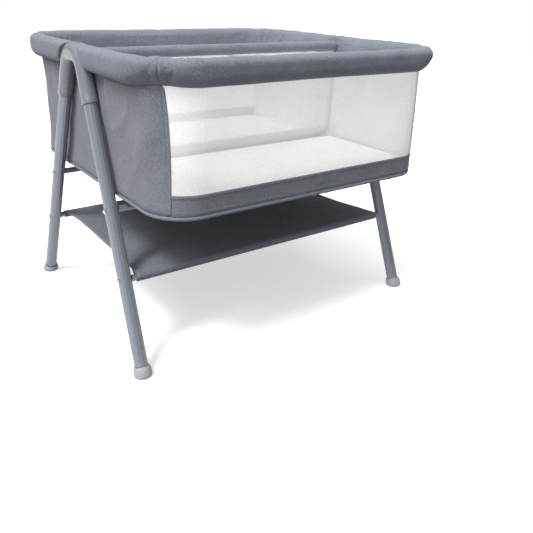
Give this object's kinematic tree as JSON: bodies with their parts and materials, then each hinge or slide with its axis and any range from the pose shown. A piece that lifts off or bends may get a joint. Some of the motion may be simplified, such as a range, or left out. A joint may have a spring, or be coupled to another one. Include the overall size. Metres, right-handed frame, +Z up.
{
  "type": "twin bassinet",
  "caption": "Twin baby bassinet: padded oblong rail and mesh-sided basket on A-shaped leg stands, with lift-out divider and mattresses and a fabric under-shelf.",
  "frame": {"origin": "on the floor, under the middle of the basket", "axes": "+X along the long front side from the left stand to the right stand, +Y to the back, +Z up"},
  "size_m": [0.9422, 0.8446, 0.747],
  "materials": {
    "rail_fabric": "woven polyester cover over foam padding",
    "panel_fabric": "plain woven polyester",
    "mesh_fabric": "fine see-through knitted mesh",
    "lining_fabric": "smooth pale lining cloth",
    "piping_fabric": "woven binding, lighter than the walls",
    "base_fabric": "plain woven base cloth",
    "shelf_fabric": "charcoal woven polyester",
    "mattress_fabric": "off-white quilted cover over thin foam",
    "strip_fabric": "hook-and-loop tape",
    "painted_steel": "satin grey powder coat",
    "bare_steel": "zinc-plated steel",
    "arch_plastic": "satin moulded grey plastic",
    "foot_plastic": "pale grey moulded plastic",
    "bracket_plastic": "hidden glass-filled plastic bracket",
    "board": "pale grey coated hardboard stiffener under a mattress"
  },
  "bodies": {
    "cradle": {"rail_tube_front": "bare_steel", "rail_pad_front": "rail_fabric", "mesh_window_front": "mesh_fabric", "bottom_band_front": "panel_fabric", "base_board_front": "board", "rail_tube_rear": "bare_steel", "rail_pad_rear": "rail_fabric", "mesh_window_rear": "mesh_fabric", "bottom_band_rear": "panel_fabric", "base_board_rear": "board", "rail_bracket_left": "bracket_plastic", "bracket_screw_left": "bare_steel", "rail_cover_left": "rail_fabric", "arch_left": "arch_plastic", "end_panel_left": "panel_fabric", "inner_lining_left": "lining_fabric", "divider_strip_left": "strip_fabric", "rail_bracket_right": "bracket_plastic", "bracket_screw_right": "bare_steel", "rail_cover_right": "rail_fabric", "arch_right": "arch_plastic", "end_panel_right": "panel_fabric", "inner_lining_right": "lining_fabric", "divider_strip_right": "strip_fabric", "base_piping": "piping_fabric", "base_floor": "base_fabric"},
    "rear_frame": {"leg_rear_left": "painted_steel", "leg_rear_right": "painted_steel", "foot_rear_left": "foot_plastic", "foot_rear_right": "foot_plastic", "foot_rivet_rear_left": "bare_steel", "foot_rivet_rear_right": "bare_steel", "lower_tube_rear": "painted_steel", "upper_tube_rear": "painted_steel", "bolt_lower_rear_left": "bare_steel", "bolt_lower_rear_right": "bare_steel", "bolt_upper_rear_left": "bare_steel", "bolt_upper_rear_right": "bare_steel", "shelf_sling": "shelf_fabric"},
    "front_frame": {"leg_front_left": "painted_steel", "leg_front_right": "painted_steel", "foot_front_left": "foot_plastic", "foot_front_right": "foot_plastic", "foot_rivet_front_left": "bare_steel", "foot_rivet_front_right": "bare_steel", "lower_tube_front": "painted_steel", "upper_tube_front": "painted_steel", "bolt_lower_front_left": "bare_steel", "bolt_lower_front_right": "bare_steel", "bolt_upper_front_left": "bare_steel", "bolt_upper_front_right": "bare_steel"},
    "divider": {"divider_bar": "bare_steel", "divider_bar_cover": "rail_fabric", "divider_mesh": "mesh_fabric", "divider_foot_band": "lining_fabric"},
    "mattress_front": {"mattress_front": "mattress_fabric"},
    "mattress_rear": {"mattress_rear": "mattress_fabric"}
  },
  "joints": [
    {"name": "stand_pull_out", "type": "slide", "parent": "cradle", "child": "rear_frame", "axis": [0, 0.3725, -0.928], "range_m": [0, 0.06]},
    {"name": "frame_spread", "type": "slide", "parent": "rear_frame", "child": "front_frame", "axis": [0, -1, 0], "range_m": [0, 0.045]},
    {"name": "divider_lift", "type": "slide", "parent": "cradle", "child": "divider", "axis": [0, 0, 1], "range_m": [0, 0.36]},
    {"name": "mattress_front_lift", "type": "slide", "parent": "cradle", "child": "mattress_front", "axis": [0, 0, 1], "range_m": [0, 0.37]},
    {"name": "mattress_rear_lift", "type": "slide", "parent": "cradle", "child": "mattress_rear", "axis": [0, 0, 1], "range_m": [0, 0.37]}
  ],
  "couplings": [
    {"joint": "frame_spread", "follows": "stand_pull_out", "ratio": 0.74502}
  ]
}
